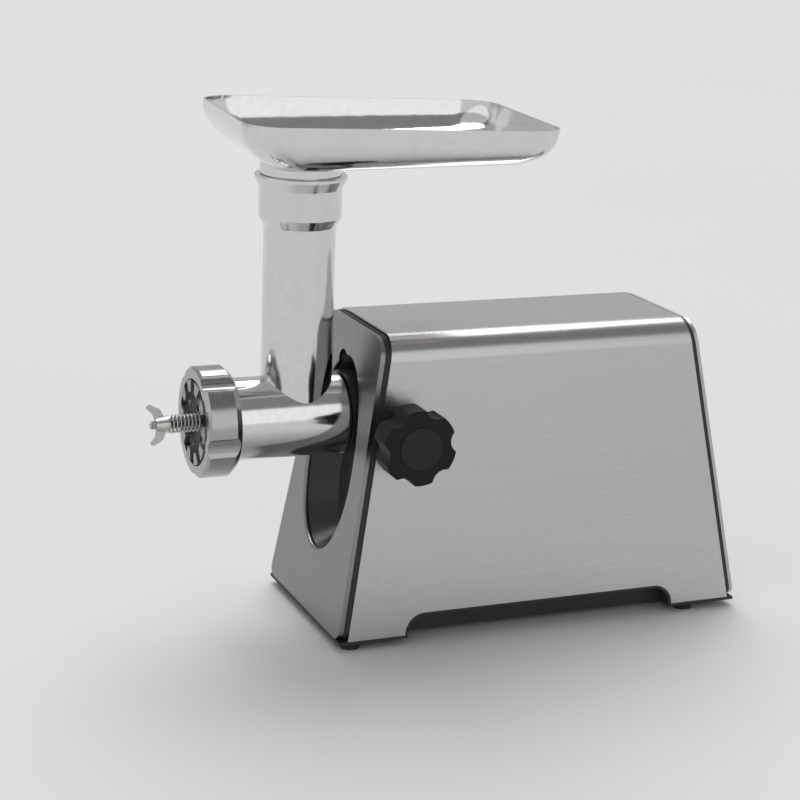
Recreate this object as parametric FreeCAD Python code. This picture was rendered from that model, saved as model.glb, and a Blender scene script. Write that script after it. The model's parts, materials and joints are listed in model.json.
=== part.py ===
import FreeCAD, Part
import os
from math import acos, atan2, cos, degrees, hypot, pi, radians, sin, sqrt, tan

# An electric kitchen grinder with a milling set: a motor housing with a plug-in grinding head,
# a feed tray on the head's tube and a clamping knob on the housing's side.
# All sizes are in millimetres and degrees. While it is built, X runs along the drive axis towards
# the rear, the feed tube stands at X = 0 and Y = 0, the knob side faces -Y and the table is Z = 0.

V = FreeCAD.Vector

# Clearances, and how far cutting tools reach past what they cut
running_gap = 0.05
seat_gap = 0.3
cut_margin = 1.0
edge_round = 0.5
fuse_overlap = 1.0

# Motor housing
foot_height = 5.5
rim_thickness = 2.5
body_rise = 228.0
drive_drop = 71.0
body_base_length = 343.0
body_base_width = 160.0
body_top_width = 120.0
front_lean = 9.3
rear_lean = 10.7
panel_setback = 35.0
top_bend = 20.0
least_round = 2.0
sheet = 1.2
seam_inset = 0.6
panel_inset = 1.2
panel_bottom_corner = 8.0
front_panel_thickness = 4.0
front_seam_depth = 4.0
rear_panel_thickness = 3.0
rear_seam_depth = 3.5
seam_width = 11.0

# Base moulding, side grips and feet
base_wall = 2.5
base_wall_height = 26.0
grip_front_setback = 56.71
grip_rear_setback = 60.29
grip_height = 14.5
grip_radius = 14.0
grip_depth = 16.0
grip_lip = 1.8
foot_diameter = 17.0
foot_front_setback = 14.0
foot_rear_setback = 42.0
foot_edge = 11.0
foot_screw_diameter = 4.0
foot_taper = 1.0

# Long oval opening in the front panel and the dark liner behind it
opening_drop = 43.1
opening_half_width = 45.0
opening_sill = 50.0
opening_upper = 87.0
opening_round = 2.0
key_notch_center = 11.0
key_notch_width = 15.0
key_notch_rise = 3.0
liner_depth = 22.0
liner_taper = 14.0
liner_wall = 2.0
liner_flange = 12.0

# Head socket and lock
socket_outer = 64.0
tail_diameter = 50.0
tail_length = 31.0
socket_flange_diameter = 86.0
socket_flange_thickness = 6.0
lock_setback = 58.0
lock_boss_diameter = 24.0
lock_thread = 10.0
insert_diameter = 16.0
insert_shoulder = 3.0
socket_screw_grip = 9.0
plunger_diameter = 7.0
groove_width = 8.0
groove_depth = 2.0
groove_lead = 2.0
knob_diameter = 57.0
knob_thickness = 23.8
knob_lobes = 6
knob_scallop = 10.0
knob_scallop_depth = 4.5
knob_neck_diameter = 28.0
knob_neck_length = 18.4
knob_cap_diameter = 33.0
knob_cap_thickness = 3.0
knob_cap_proud = 0.8
knob_cap_round = 0.6
knob_edge_round = 2.0
knob_lobe_round = 1.5
knob_turn = 7.0
knob_stud_cover = 6.0

# Grinding head casting
tube_outer = 54.0
tube_wall = 3.0
tube_reach = 185.0
throat_rise = 8.0
throat_relief = 1.0
barrel_outer = 63.0
barrel_wall = 3.5
barrel_back_wall = 5.0
barrel_edge_round = 3.0
nose_outer = 70.0
nose_length = 19.0
collar_outer = 62.0
collar_wall = 3.0
collar_height = 31.5
collar_taper = 7.0
collar_bore_depth = 24.0
lip_outer = 69.0
lip_flare = 7.0
lip_height = 10.0
lip_round = 1.2
head_bush_outer = 24.0

# Ring nut
ring_front = 80.5
ring_length = 26.5
ring_outer = 84.0
ring_lobes = 5
ring_scallop = 12.0
ring_scallop_depth = 3.5
ring_first_lobe = 22.0
ring_lip_opening = 66.0
ring_lip = 3.9
ring_front_chamfer = 2.0
ring_rear_chamfer = 5.0
ring_skirt_wall = 2.2
ring_lobe_round = 1.0

# Milling set
burr_flange = 4.0
burr_boss_diameter = 64.0
burr_proud = 1.0
burr_notches = 10
burr_notch_width = 9.0
burr_notch_radial = 10.0
burr_flange_gap = 0.4
burr_slots = 8
burr_slot_width = 3.0
burr_slot_length = 9.5
burr_pocket_diameter = 46.0
burr_pocket_depth = 9.0
burr_plug = 5.0
burr_gap = 0.5
inner_burr_thickness = 8.0
inner_burr_teeth = 16
inner_burr_groove = 2.0
inner_burr_hub = 20.0
inner_burr_side_gap = 0.8
burr_slot_setback = 2.0
stud_diameter = 6.0
stud_grip = 16.0
stud_free_end = 4.0
spring_outer = 14.0
spring_wire = 1.5
spring_turns = 7
spring_length = 24.5
spring_bend = 1.2
seat_thickness = 2.2
seat_diameter = 17.0
washer_thickness = 1.2
washer_diameter = 13.0
wing_hub_length = 9.0
wing_hub_diameter = 12.5
wing_hub_tip = 10.0
wing_reach = 15.5
wing_sweep = 6.5
wing_thickness = 2.4
wing_turn = -27.0
wing_round = 4.0
wing_tip_round = 1.4
wing_shoulder_share = 0.75
wing_waist_share = 0.55

# Auger
auger_core_diameter = 24.0
auger_flight_thickness = 5.0
auger_pitch = 26.0
auger_side_gap = 0.4
auger_edge_share = 0.6
journal_diameter = 16.0
hex_across = 11.0
hex_length = 15.0
drive_room = 20.0

# Gear train, teeth and module of each stage
slow_module = 1.5
slow_gear_teeth = 60
slow_pinion_teeth = 10
slow_width = 14.0
fast_module = 1.0
fast_gear_teeth = 63
fast_pinion_teeth = 9
fast_width = 10.0
pinion_overhang = 0.6
pressure_angle = 20.0
profile_shift = 0.4
tooth_backlash = 0.24
tooth_root = 1.25
tooth_tip_cut = 0.05
flank_steps = 3
idler_offset = 24.0
gear_holes = 6
slow_hole_diameter = 16.0
slow_hole_place = 27.0
fast_hole_diameter = 11.0
fast_hole_place = 18.0
gear_space = 6.0

# Chassis, gearbox and shafts
chassis_sheet = 4.0
chassis_foot = 24.0
chassis_width = 100.0
gearbox_wall = 4.0
gearbox_margin = 5.0
gearbox_corner = 18.0
output_shaft_diameter = 24.0
output_tail_diameter = 14.0
idler_shaft_diameter = 9.0
bush_wall = 4.0
bush_length = 9.0
shaft_end_gap = 1.5
gearbox_screw_diameter = 4.0
gearbox_screw_grip = 14.0
gearbox_post_diameter = 9.6
screw_corner_share = 0.42
hub_setback = 2.0
chassis_screw_spread = 0.36
chassis_screw_place = 0.6

# Motor
motor_diameter = 78.0
motor_length = 92.0
motor_wall = 2.5
motor_shaft_diameter = 8.0
pinion_bore = 4.0
motor_face = 5.0
motor_screw_edge = 12.0
motor_screw_angle = 30.0
magnet_thickness = 6.5
magnet_span = 130.0
rotor_air_gap = 0.7
rotor_length = 54.0
rotor_slots = 12
rotor_slot_width = 3.0
rotor_slot_depth = 9.0
rotor_setback = 16.0
commutator_diameter = 24.0
commutator_length = 14.0
commutator_setback = 2.0
brush_gap = 0.3
brush_width = 6.0
bell_thickness = 10.0
bearing_diameter = 22.0
bearing_length = 7.0
fan_diameter = 72.0
fan_thickness = 12.0
fan_blades = 8
fan_hub_diameter = 20.0
fan_gap = 6.0
fan_sheet = 2.0
saddle_length = 22.0
saddle_width = 56.0

# Rear panel, switch and cord gland
vent_count = 8
vent_width = 3.5
vent_length = 54.0
vent_spacing = 8.0
vent_drop = 46.0
switch_width = 30.0
switch_height = 22.0
switch_drop = 32.0
switch_depth = 20.0
switch_bezel = 3.0
switch_bezel_proud = 2.0
rocker_pin_diameter = 3.0
rocker_dip = 4.0
gland_center = 40.0
gland_diameter = 20.0
gland_bore = 8.0
gland_proud = 6.0
gland_collar = 2.5
gland_tail = 2.0
rear_screw_diameter = 4.0
rear_screw_edge = 13.0

# Feed tray
tray_front_reach = 60.0
tray_rear_reach = 176.0
tray_width = 179.0
tray_rise = 45.4
tray_depth = 32.6
tray_rim_tilt = -1.08
tray_floor_tilt = 1.35
tray_corner = 27.0
tray_sheet = 1.4
tray_turn = -5.1
tray_neck_outer = 61.0
tray_spigot_end_gap = 0.5
tray_spigot_wall = 2.5
# Levels of the tray's wall: share of the depth, inset, inset at the front, share of the floor's tilt
tray_levels = ((0.0, 0.0, 0.0, 0.0), (0.43, 2.5, 3.0, 0.25), (0.76, 8.0, 14.0, 0.7), (1.0, 18.0, 28.0, 1.0))

# Places along the drive axis and up the head, worked out from the sizes above
body_base = foot_height + rim_thickness
body_top = body_base + body_rise
drive_height = body_top - drive_drop
side_slope = (body_base_width - body_top_width) / 2 / body_rise
front_base = panel_setback - (drive_height - body_base) * tan(radians(front_lean))
rear_base = front_base + body_base_length
grip_start = front_base + grip_front_setback
grip_end = rear_base - grip_rear_setback
tube_bore = tube_outer - 2 * tube_wall
barrel_bore = barrel_outer - 2 * barrel_wall
throat_top = drive_height + barrel_bore / 2 + throat_rise
tube_top = drive_height + tube_reach
lip_bottom = tube_top - lip_height
collar_bottom = tube_top - collar_height
collar_bore_bottom = tube_top - collar_bore_depth
tray_rim_height = tube_top + tray_rise
barrel_rear = panel_setback
barrel_front = -(ring_front - ring_lip - burr_flange - seat_gap)
tail_end = barrel_rear + tail_length
socket_front = barrel_rear + seat_gap
chassis_front = tail_end + drive_room
chassis_back = chassis_front + chassis_sheet
slow_start = chassis_back + gear_space
slow_end = slow_start + slow_width
fast_start = slow_end + gear_space
fast_end = fast_start + fast_width
gearbox_end = fast_end + gear_space + gearbox_wall
motor_front = gearbox_end
motor_back = motor_front + motor_length
bell_back = motor_back + bell_thickness
slow_distance = slow_module * (slow_gear_teeth + slow_pinion_teeth) / 2
fast_distance = fast_module * (fast_gear_teeth + fast_pinion_teeth) / 2
idler_y = -idler_offset
idler_z = drive_height - sqrt(slow_distance ** 2 - idler_offset ** 2)
motor_z = idler_z - sqrt(fast_distance ** 2 - idler_offset ** 2)
burr_face = -ring_front - burr_proud
pocket_floor = burr_face + burr_pocket_depth
spring_rear = pocket_floor - seat_gap - seat_thickness
spring_front = spring_rear - spring_length
nut_rear = spring_front - washer_thickness - running_gap
nut_front = nut_rear - wing_hub_length
stud_front = nut_front - stud_free_end
inner_burr_front = barrel_front + burr_plug + burr_gap
inner_burr_back = inner_burr_front + inner_burr_thickness

# Places up the leaning ends of the housing, measured along each end from its lower edge
opening_center = (drive_height - body_base) / cos(radians(front_lean)) - opening_drop
opening_lower = opening_center - opening_sill
switch_center = body_rise - switch_drop
vent_center = switch_center - vent_drop


# Basic shapes

def cylinder_x(diameter, start, end, y=0.0, z=drive_height):
    return Part.makeCylinder(diameter / 2, end - start, V(start, y, z), V(1, 0, 0))


def cylinder_y(diameter, start, end, x, z):
    return Part.makeCylinder(diameter / 2, end - start, V(x, start, z), V(0, 1, 0))


def cylinder_z(diameter, bottom, top, x=0.0, y=0.0):
    return Part.makeCylinder(diameter / 2, top - bottom, V(x, y, bottom))


def cone_x(first, last, start, end, y=0.0, z=drive_height):
    return Part.makeCone(first / 2, last / 2, end - start, V(start, y, z), V(1, 0, 0))


def cone_z(first, last, bottom, top):
    return Part.makeCone(first / 2, last / 2, top - bottom, V(0, 0, bottom))


def ring_x(outer, inner, start, end, y=0.0, z=drive_height):
    return cylinder_x(outer, start, end, y, z).cut(cylinder_x(inner, start, end, y, z))


def block(x_range, y_range, z_range):
    corner = V(x_range[0], y_range[0], z_range[0])
    return Part.makeBox(x_range[1] - x_range[0], y_range[1] - y_range[0], z_range[1] - z_range[0], corner)


def turned(shape, angle, y=0.0, z=drive_height):
    copy = shape.copy()
    copy.rotate(V(0, y, z), V(1, 0, 0), angle)
    return copy


def around(shape, count, first=0.0, y=0.0, z=drive_height):
    return [turned(shape, first + 360.0 * step / count, y, z) for step in range(count)]


def joined(shapes):
    return shapes[0].multiFuse(shapes[1:]).removeSplitter()


def group(shapes):
    return Part.makeCompound(shapes)


def rounded_wire(corners, radii):
    # A closed outline of straight runs with an arc of the given radius at each corner.
    arcs = []
    count = len(corners)
    for index, corner in enumerate(corners):
        back = (corners[index - 1] - corner).normalize()
        ahead = (corners[(index + 1) % count] - corner).normalize()
        half = acos(back.dot(ahead)) / 2
        run = radii[index] / tan(half)
        inward = (back + ahead).normalize()
        middle = corner + inward * (radii[index] / sin(half) - radii[index])
        arcs.append((corner + back * run, middle, corner + ahead * run))
    edges = []
    for index, (start, middle, end) in enumerate(arcs):
        edges.append(Part.Arc(start, middle, end).toShape())
        following = arcs[(index + 1) % count][0]
        if (following - end).Length > 1e-6:
            edges.append(Part.LineSegment(end, following).toShape())
    return Part.Wire(edges)


def extruded(wire, direction):
    return Part.Face(wire).extrude(direction)


def hexagon_x(across, start, end):
    radius = across / 2 / cos(pi / 6)
    angles = [step * pi / 3 for step in range(6)]
    corners = [V(start, radius * cos(angle), drive_height + radius * sin(angle)) for angle in angles]
    return extruded(Part.makePolygon(corners + corners[:1]), V(end - start, 0, 0))


def screw_x(diameter, head_start, head_end, tip, y, z):
    # A pan-head screw along X: its head lies between the first two places and its shank ends at the tip.
    head = cylinder_x(2 * diameter, min(head_start, head_end), max(head_start, head_end), y, z)
    shank = cylinder_x(diameter, min(head_end, tip), max(head_end, tip), y, z)
    return head.fuse(shank).removeSplitter()


def is_bent(edge):
    # Neither straight nor circular, as along the rim of the oval opening.
    return edge.Curve.TypeId not in ("Part::GeomLine", "Part::GeomCircle")


def corner_lines(shape):
    # Straight edges where two faces meet, leaving out the seams of round faces.
    return [edge for edge in shape.Edges
            if edge.Curve.TypeId == "Part::GeomLine" and len(shape.ancestorsOfType(edge, Part.Face)) == 2]


# Leaning ends of the housing: end pieces are drawn upright, with the inside towards +X, and leaned back

def body_half_width(height, inset=0.0):
    # Half the housing's outside width at a height above its lower edge, less an inset square to its side.
    return body_base_width / 2 - side_slope * height - inset * hypot(1, side_slope)


def end_outline(depth, inset, lean, bottom_inset=0.0):
    # The outline of a leaning end at a depth behind its outer face.
    stretch = 1 / cos(radians(lean))
    low = bottom_inset
    high = body_rise - inset / stretch
    corners = []
    for side, height in ((-1, low), (1, low), (1, high), (-1, high)):
        corners.append(V(depth, side * body_half_width(height, inset), height * stretch))
    top_round = max(least_round, top_bend - inset)
    radii = [panel_bottom_corner, panel_bottom_corner, top_round, top_round]
    return rounded_wire(corners, radii)


def end_plate(depth, thickness, inset, lean, bottom_inset=0.0):
    return extruded(end_outline(depth, inset, lean, bottom_inset), V(thickness, 0, 0))


def at_front(shape):
    leaned = shape.copy()
    leaned.rotate(V(0, 0, 0), V(0, 1, 0), front_lean)
    leaned.translate(V(front_base, 0, body_base))
    return leaned


def at_rear(shape):
    leaned = shape.copy()
    leaned.rotate(V(0, 0, 0), V(0, 0, 1), 180)
    leaned.rotate(V(0, 0, 0), V(0, 1, 0), -rear_lean)
    leaned.translate(V(rear_base, 0, body_base))
    return leaned


def end_lift(depth, lean):
    # How far a leaned end's lower edge is raised so that its inner face stays above the base rim.
    return depth * sin(radians(lean)) + seat_gap


def body_section(inset, bottom):
    # The housing's cross-section as a long bar, open ended, from a level up to the top less the inset.
    top = body_rise - inset
    low = bottom - body_base
    wide = body_half_width(low, inset)
    narrow = body_half_width(top, inset)
    high = body_base + top
    corners = [V(0, -wide, bottom), V(0, wide, bottom), V(0, narrow, high), V(0, -narrow, high)]
    wire = rounded_wire(corners, [edge_round, edge_round, top_bend - inset, top_bend - inset])
    bar = extruded(wire, V(2 * body_base_length, 0, 0))
    bar.translate(V(front_base - body_base_length / 2, 0, 0))
    return bar


def body_side(front_depth, rear_depth, bottom, top):
    # The housing's side profile between planes parallel to its two leaning ends.
    def front_x(z):
        lean = radians(front_lean)
        return front_base + (z - body_base) * tan(lean) + front_depth / cos(lean)

    def rear_x(z):
        lean = radians(rear_lean)
        return rear_base - (z - body_base) * tan(lean) - rear_depth / cos(lean)

    corners = [V(front_x(bottom), 0, bottom), V(rear_x(bottom), 0, bottom),
               V(rear_x(top), 0, top), V(front_x(top), 0, top)]
    slab = extruded(Part.makePolygon(corners + corners[:1]), V(0, 2 * body_base_width, 0))
    slab.translate(V(0, -body_base_width, 0))
    return slab


def grip_arch(lip, y_start, y_end):
    # The long raised arch in a side's lower edge, grown by a lip all round.
    top = body_base + grip_height + lip
    ends = (grip_start - lip, grip_end + lip)
    corners = [V(ends[0], y_start, -foot_height), V(ends[1], y_start, -foot_height),
               V(ends[1], y_start, top), V(ends[0], y_start, top)]
    radius = grip_radius + lip
    wire = rounded_wire(corners, [edge_round, edge_round, radius, radius])
    return extruded(wire, V(0, y_end - y_start, 0))


def both_sides(shape):
    return [shape, shape.mirror(V(0, 0, 0), V(0, 1, 0))]


front_stack = front_panel_thickness + front_seam_depth
rear_stack = rear_panel_thickness + rear_seam_depth
outside = body_base_width


def housing_wrap():
    shell = body_section(0.0, body_base).cut(body_section(sheet, body_base - cut_margin))
    shell = shell.common(body_side(front_stack, rear_stack, body_base - cut_margin, body_top + cut_margin))
    shell = shell.cut(group(both_sides(grip_arch(grip_lip + seat_gap, -outside, 0))))
    return shell.cut(lock_cylinder(insert_diameter, -outside, 0))


def base():
    rim = body_section(seam_inset, foot_height)
    rim = rim.common(body_side(panel_inset, panel_inset, foot_height, body_base))
    inside = sheet + seat_gap
    wall_top = body_base + base_wall_height
    front = front_stack + seat_gap
    rear = rear_stack + seat_gap
    wall = body_section(inside, body_base).common(body_side(front, rear, body_base, wall_top))
    hollow = body_section(inside + base_wall, body_base - cut_margin)
    hollow = hollow.common(body_side(front + base_wall, rear + base_wall, body_base, wall_top + cut_margin))
    grip_floor = -body_base_width / 2 + grip_depth
    body = rim.fuse(wall.cut(hollow))
    scoop_block = grip_arch(grip_lip, -outside, grip_floor + base_wall)
    inside_skin = body_section(seam_inset, body_base).common(body_side(0, 0, body_base, wall_top))
    for housing in both_sides(scoop_block.common(inside_skin)):
        body = body.fuse(housing)
    body = body.removeSplitter()
    body = body.cut(group(both_sides(grip_arch(0.0, -outside, grip_floor))))
    holes = [cylinder_z(foot_screw_diameter, foot_height, body_base, x, y) for x, y in foot_places()]
    return body.cut(group(holes))


def foot_places():
    y = body_base_width / 2 - foot_edge
    ends = (front_base + foot_front_setback, rear_base - foot_rear_setback)
    return [(x, side * y) for x in ends for side in (-1, 1)]


def feet():
    made = []
    for x, y in foot_places():
        foot = Part.makeCone(foot_diameter / 2 - foot_taper, foot_diameter / 2, foot_height, V(x, y, 0))
        foot = foot.cut(cylinder_z(foot_screw_diameter, 0, foot_height, x, y))
        made.append(foot.cut(cylinder_z(2 * foot_screw_diameter + 2 * seat_gap, 0, foot_height / 2, x, y)))
    return group(made)


def foot_screws():
    made = []
    for x, y in foot_places():
        head = cylinder_z(2 * foot_screw_diameter, foot_height / 4, foot_height / 2, x, y)
        shank = cylinder_z(foot_screw_diameter, foot_height / 2, body_base, x, y)
        made.append(head.fuse(shank).removeSplitter())
    return group(made)


# Front end: panel, seam and recess liner

def egg_wire(depth, inset):
    # The long oval: two half ellipses that share their width.
    middle = V(depth, 0, opening_center)
    side = V(0, opening_half_width - inset, 0)
    upper = half_ellipse(middle, side, V(0, 0, opening_upper - inset))
    lower = half_ellipse(middle, side, V(0, 0, inset - opening_lower))
    return Part.Wire([upper, lower])


def half_ellipse(middle, side, reach):
    # From one side of its middle, round the end of its reach, to the other side.
    if reach.Length > side.Length:
        whole = Part.Ellipse(middle - reach, middle + side, middle)
        return Part.ArcOfEllipse(whole, pi / 2, 3 * pi / 2).toShape()
    whole = Part.Ellipse(middle + side, middle + reach, middle)
    return Part.ArcOfEllipse(whole, 0, pi).toShape()


def key_notch(depth, thickness):
    # A narrow key slot above the oval, beside the barrel.
    top = opening_center + opening_upper + key_notch_rise
    half = key_notch_width / 2
    near = key_notch_center - half
    far = key_notch_center + half
    corners = [V(depth, near, opening_center), V(depth, far, opening_center),
               V(depth, far, top), V(depth, near, top)]
    end_round = half - edge_round
    wire = rounded_wire(corners, [edge_round, edge_round, end_round, end_round])
    return extruded(wire, V(thickness, 0, 0))


def front_panel():
    lift = end_lift(front_panel_thickness, front_lean)
    plate = end_plate(0, front_panel_thickness, panel_inset, front_lean, lift)
    through = front_panel_thickness + 2 * cut_margin
    plate = plate.cut(extruded(egg_wire(-cut_margin, 0), V(through, 0, 0))).Solids[0]
    rim = [edge for edge in plate.Edges if is_bent(edge) and edge.BoundBox.XMax < front_panel_thickness / 2]
    plate = plate.makeFillet(opening_round, rim)
    plate = plate.cut(key_notch(-cut_margin, through))
    return at_front(plate)


def front_seam():
    lift = end_lift(front_stack, front_lean)
    outer = end_plate(front_panel_thickness, front_seam_depth, seam_inset, front_lean, lift)
    inner = end_plate(front_panel_thickness, front_seam_depth, seam_width, front_lean, lift + seam_width)
    return at_front(outer.cut(inner))


def recess_liner():
    start = front_panel_thickness
    end = start + liner_depth
    outer = Part.makeLoft([egg_wire(start, -liner_wall), egg_wire(end, liner_taper - liner_wall)], True, True)
    inner = Part.makeLoft([egg_wire(start, 0), egg_wire(end - liner_wall, liner_taper)], True, True)
    flange = extruded(egg_wire(start, -liner_flange), V(liner_wall, 0, 0))
    liner = at_front(flange.fuse(outer).cut(inner).removeSplitter())
    liner = liner.cut(cylinder_x(socket_outer + 2 * seat_gap, 0, chassis_front))
    return liner.cut(lock_cylinder(lock_boss_diameter + 2 * seat_gap, -outside, 0))


# Rear end: panel, seam, vents, switch and gland

def vent_slot(y):
    low = vent_center - vent_length / 2
    high = low + vent_length
    half = vent_width / 2
    corners = [V(-cut_margin, y - half, low), V(-cut_margin, y + half, low),
               V(-cut_margin, y + half, high), V(-cut_margin, y - half, high)]
    wire = rounded_wire(corners, [half - edge_round] * 4)
    return extruded(wire, V(rear_panel_thickness + 2 * cut_margin, 0, 0))


def rear_panel():
    lift = end_lift(rear_panel_thickness, rear_lean)
    plate = end_plate(0, rear_panel_thickness, panel_inset, rear_lean, lift)
    back = rear_panel_thickness + cut_margin
    cuts = [vent_slot(vent_spacing * (step - (vent_count - 1) / 2)) for step in range(vent_count)]
    cuts.append(switch_box(-cut_margin, back + cut_margin, seat_gap))
    cuts.append(cylinder_x(gland_diameter + 2 * running_gap, -cut_margin, back, 0, gland_center))
    for y, z in rear_screw_places():
        cuts.append(cylinder_x(rear_screw_diameter, -cut_margin, back, y, z))
    return at_rear(plate.cut(group(cuts)))


def rear_screw_places():
    levels = (rear_screw_edge, body_rise - rear_screw_edge - top_bend / 2)
    return [(side * (body_half_width(z) - rear_screw_edge), z) for z in levels for side in (-1, 1)]


def rear_seam():
    lift = end_lift(rear_stack, rear_lean)
    outer = end_plate(rear_panel_thickness, rear_seam_depth, seam_inset, rear_lean, lift)
    width = 2 * seam_width
    inner = end_plate(rear_panel_thickness, rear_seam_depth, width, rear_lean, lift + width)
    back = rear_stack + cut_margin
    holes = [cylinder_x(rear_screw_diameter, 0, back, y, z) for y, z in rear_screw_places()]
    return at_rear(outer.cut(inner).cut(group(holes)))


def rear_screws():
    head = rear_screw_diameter / 2
    made = [screw_x(rear_screw_diameter, -head, 0, rear_stack, y, z) for y, z in rear_screw_places()]
    return at_rear(group(made))


def switch_box(start, depth, gap):
    half_width = switch_width / 2 + gap
    half_height = switch_height / 2 + gap
    return block((start, start + depth), (-half_width, half_width),
                 (switch_center - half_height, switch_center + half_height))


def switch_body():
    # A snap-in case behind the panel with a bezel on its outer face, open to the rocker.
    case = switch_box(-switch_bezel_proud, switch_depth + switch_bezel_proud, 0)
    bezel = switch_box(-switch_bezel_proud, switch_bezel_proud, switch_bezel)
    well = switch_box(-switch_bezel_proud - cut_margin, switch_depth - switch_bezel, -switch_bezel)
    pin = cylinder_y(rocker_pin_diameter, -switch_width / 2, switch_width / 2, *rocker_axis())
    return at_rear(case.fuse(bezel).removeSplitter().cut(well).fuse(pin).removeSplitter())


def rocker_axis():
    return (switch_bezel, switch_center)


def power_rocker():
    # The rocker key: a drum on its pivot, its outer face dished into two flats.
    half_width = switch_width / 2 - switch_bezel - seat_gap
    radius = switch_height / 2 - switch_bezel - seat_gap
    x, z = rocker_axis()
    drum = cylinder_y(2 * radius, -half_width, half_width, x, z)
    corners = [V(x - 2 * radius, -half_width, z - radius), V(x - rocker_dip, -half_width, z),
               V(x - 2 * radius, -half_width, z + radius)]
    dish = extruded(Part.makePolygon(corners + corners[:1]), V(0, 2 * half_width, 0))
    pin = cylinder_y(rocker_pin_diameter + 2 * running_gap, -half_width, half_width, x, z)
    return at_rear(drum.cut(dish).cut(pin))


def cord_gland():
    body = cylinder_x(gland_diameter, -gland_proud, gland_inner_end(), 0, gland_center)
    collar = cylinder_x(gland_diameter + 2 * gland_collar, -gland_proud / 2, 0, 0, gland_center)
    gland = body.fuse(collar).removeSplitter()
    return at_rear(gland.cut(cylinder_x(gland_bore, -gland_proud, gland_inner_end(), 0, gland_center)))


def gland_inner_end():
    return rear_stack + gland_tail


# Head socket and lock knob

def wrap_face():
    # Distance of the housing's knob-side face from the drive axis at drive height.
    return body_half_width(drive_height - body_base)


def boss_end():
    # The lock boss stops just inside the leaning wrap.
    return wrap_face() - sheet - 2 * seat_gap - lock_boss_diameter / 2 * side_slope


def insert_inner():
    return socket_outer / 2 + insert_shoulder


def lock_cylinder(diameter, start, end):
    # A cylinder round the axis of the lock knob.
    return cylinder_y(diameter, start, end, lock_setback, drive_height)


def head_socket():
    barrel = cylinder_x(socket_outer, socket_front, chassis_front)
    flange = cylinder_x(socket_flange_diameter, chassis_front - socket_flange_thickness, chassis_front)
    boss = lock_cylinder(lock_boss_diameter, -boss_end(), 0)
    socket = joined([barrel, flange, boss])
    cuts = [cylinder_x(tail_diameter + 2 * seat_gap, socket_front - cut_margin, chassis_front + cut_margin),
            lock_cylinder(insert_diameter, -boss_end() - cut_margin, -insert_inner()),
            lock_cylinder(plunger_diameter + 2 * running_gap, -boss_end(), 0)]
    tip = chassis_front - socket_screw_grip
    for y, z in socket_screw_places():
        cuts.append(cylinder_x(gearbox_screw_diameter, tip, chassis_front, y, z))
    return socket.cut(group(cuts))


def thread_insert():
    insert = lock_cylinder(insert_diameter, -boss_end(), -insert_inner())
    return insert.cut(lock_cylinder(lock_thread + 2 * running_gap, -boss_end(), 0))


def plunger_tip():
    return tail_diameter / 2 - groove_depth + seat_gap


def lock_plunger():
    # A plain pin that the stud pushes into the tail's groove.
    return lock_cylinder(plunger_diameter, -insert_inner(), -plunger_tip())


def knob_back():
    return wrap_face() + knob_neck_diameter / 2 * side_slope + 2 * seat_gap


def knob_face():
    return knob_back() + knob_neck_length + knob_thickness


def stud_end():
    return knob_face() - knob_cap_thickness - knob_stud_cover


def lock_stud():
    return lock_cylinder(lock_thread, -stud_end(), -insert_inner() - running_gap)


def lock_knob():
    neck_end = -knob_back() - knob_neck_length
    star = lock_cylinder(knob_diameter, -knob_face(), neck_end)
    star = star.makeFillet(knob_edge_round, star.Edges)
    place = knob_diameter / 2 - knob_scallop_depth + knob_scallop
    scallops = []
    for step in range(knob_lobes):
        angle = 2 * pi * (step + 0.5) / knob_lobes + pi / 2 + radians(knob_turn)
        x = lock_setback + place * cos(angle)
        z = drive_height + place * sin(angle)
        scallops.append(cylinder_y(2 * knob_scallop, -knob_face() - cut_margin, 0, x, z))
    star = star.cut(group(scallops)).Solids[0]
    star = star.makeFillet(knob_lobe_round, corner_lines(star))
    neck = lock_cylinder(knob_neck_diameter, neck_end, -knob_back())
    knob = star.fuse(neck).removeSplitter()
    seat = lock_cylinder(knob_cap_diameter, -knob_face(), -knob_face() + knob_cap_thickness - knob_cap_proud)
    return knob.cut(seat).cut(lock_cylinder(lock_thread, -stud_end(), 0))


def knob_cap():
    start = -knob_face() - knob_cap_proud
    cap = lock_cylinder(knob_cap_diameter - 2 * running_gap, start, start + knob_cap_thickness)
    outer = [edge for edge in cap.Edges if edge.BoundBox.YMax < start + edge_round]
    return cap.makeFillet(knob_cap_round, outer)


# Grinding head

def grinder_head():
    barrel = cylinder_x(barrel_outer, barrel_front, barrel_rear)
    back = [edge for edge in barrel.Edges if edge.BoundBox.XMin > barrel_rear - edge_round]
    barrel = barrel.makeFillet(barrel_edge_round, back)
    tube = cylinder_z(tube_outer, drive_height, collar_bottom)
    nose = cylinder_x(nose_outer, barrel_front, barrel_front + nose_length)
    tail = cylinder_x(tail_diameter, barrel_rear - barrel_edge_round, tail_end)
    taper = cone_z(tube_outer, collar_outer, collar_bottom - collar_taper, collar_bottom)
    collar = cylinder_z(collar_outer, collar_bottom, tube_top)
    lip = cylinder_z(lip_outer, lip_bottom + lip_flare, tube_top)
    rim = [edge for edge in lip.Edges if edge.BoundBox.ZMin > tube_top - lip_round]
    lip = lip.makeFillet(lip_round, rim)
    flare = cone_z(collar_outer, lip_outer, lip_bottom, lip_bottom + lip_flare)
    head = joined([barrel, nose, tail, tube, taper, collar, flare, lip])
    above = tube_top + cut_margin
    head = head.cut(cylinder_x(barrel_bore, barrel_front - cut_margin, barrel_rear - barrel_back_wall))
    head = head.cut(cylinder_z(tube_bore, drive_height, above))
    head = head.cut(cylinder_z(tube_bore + 2 * throat_relief, drive_height, throat_top))
    head = head.cut(cylinder_z(collar_outer - 2 * collar_wall, collar_bore_bottom, above))
    head = head.cut(cylinder_x(head_bush_outer, 0, tail_end + cut_margin))
    return head.cut(lock_groove())


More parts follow.
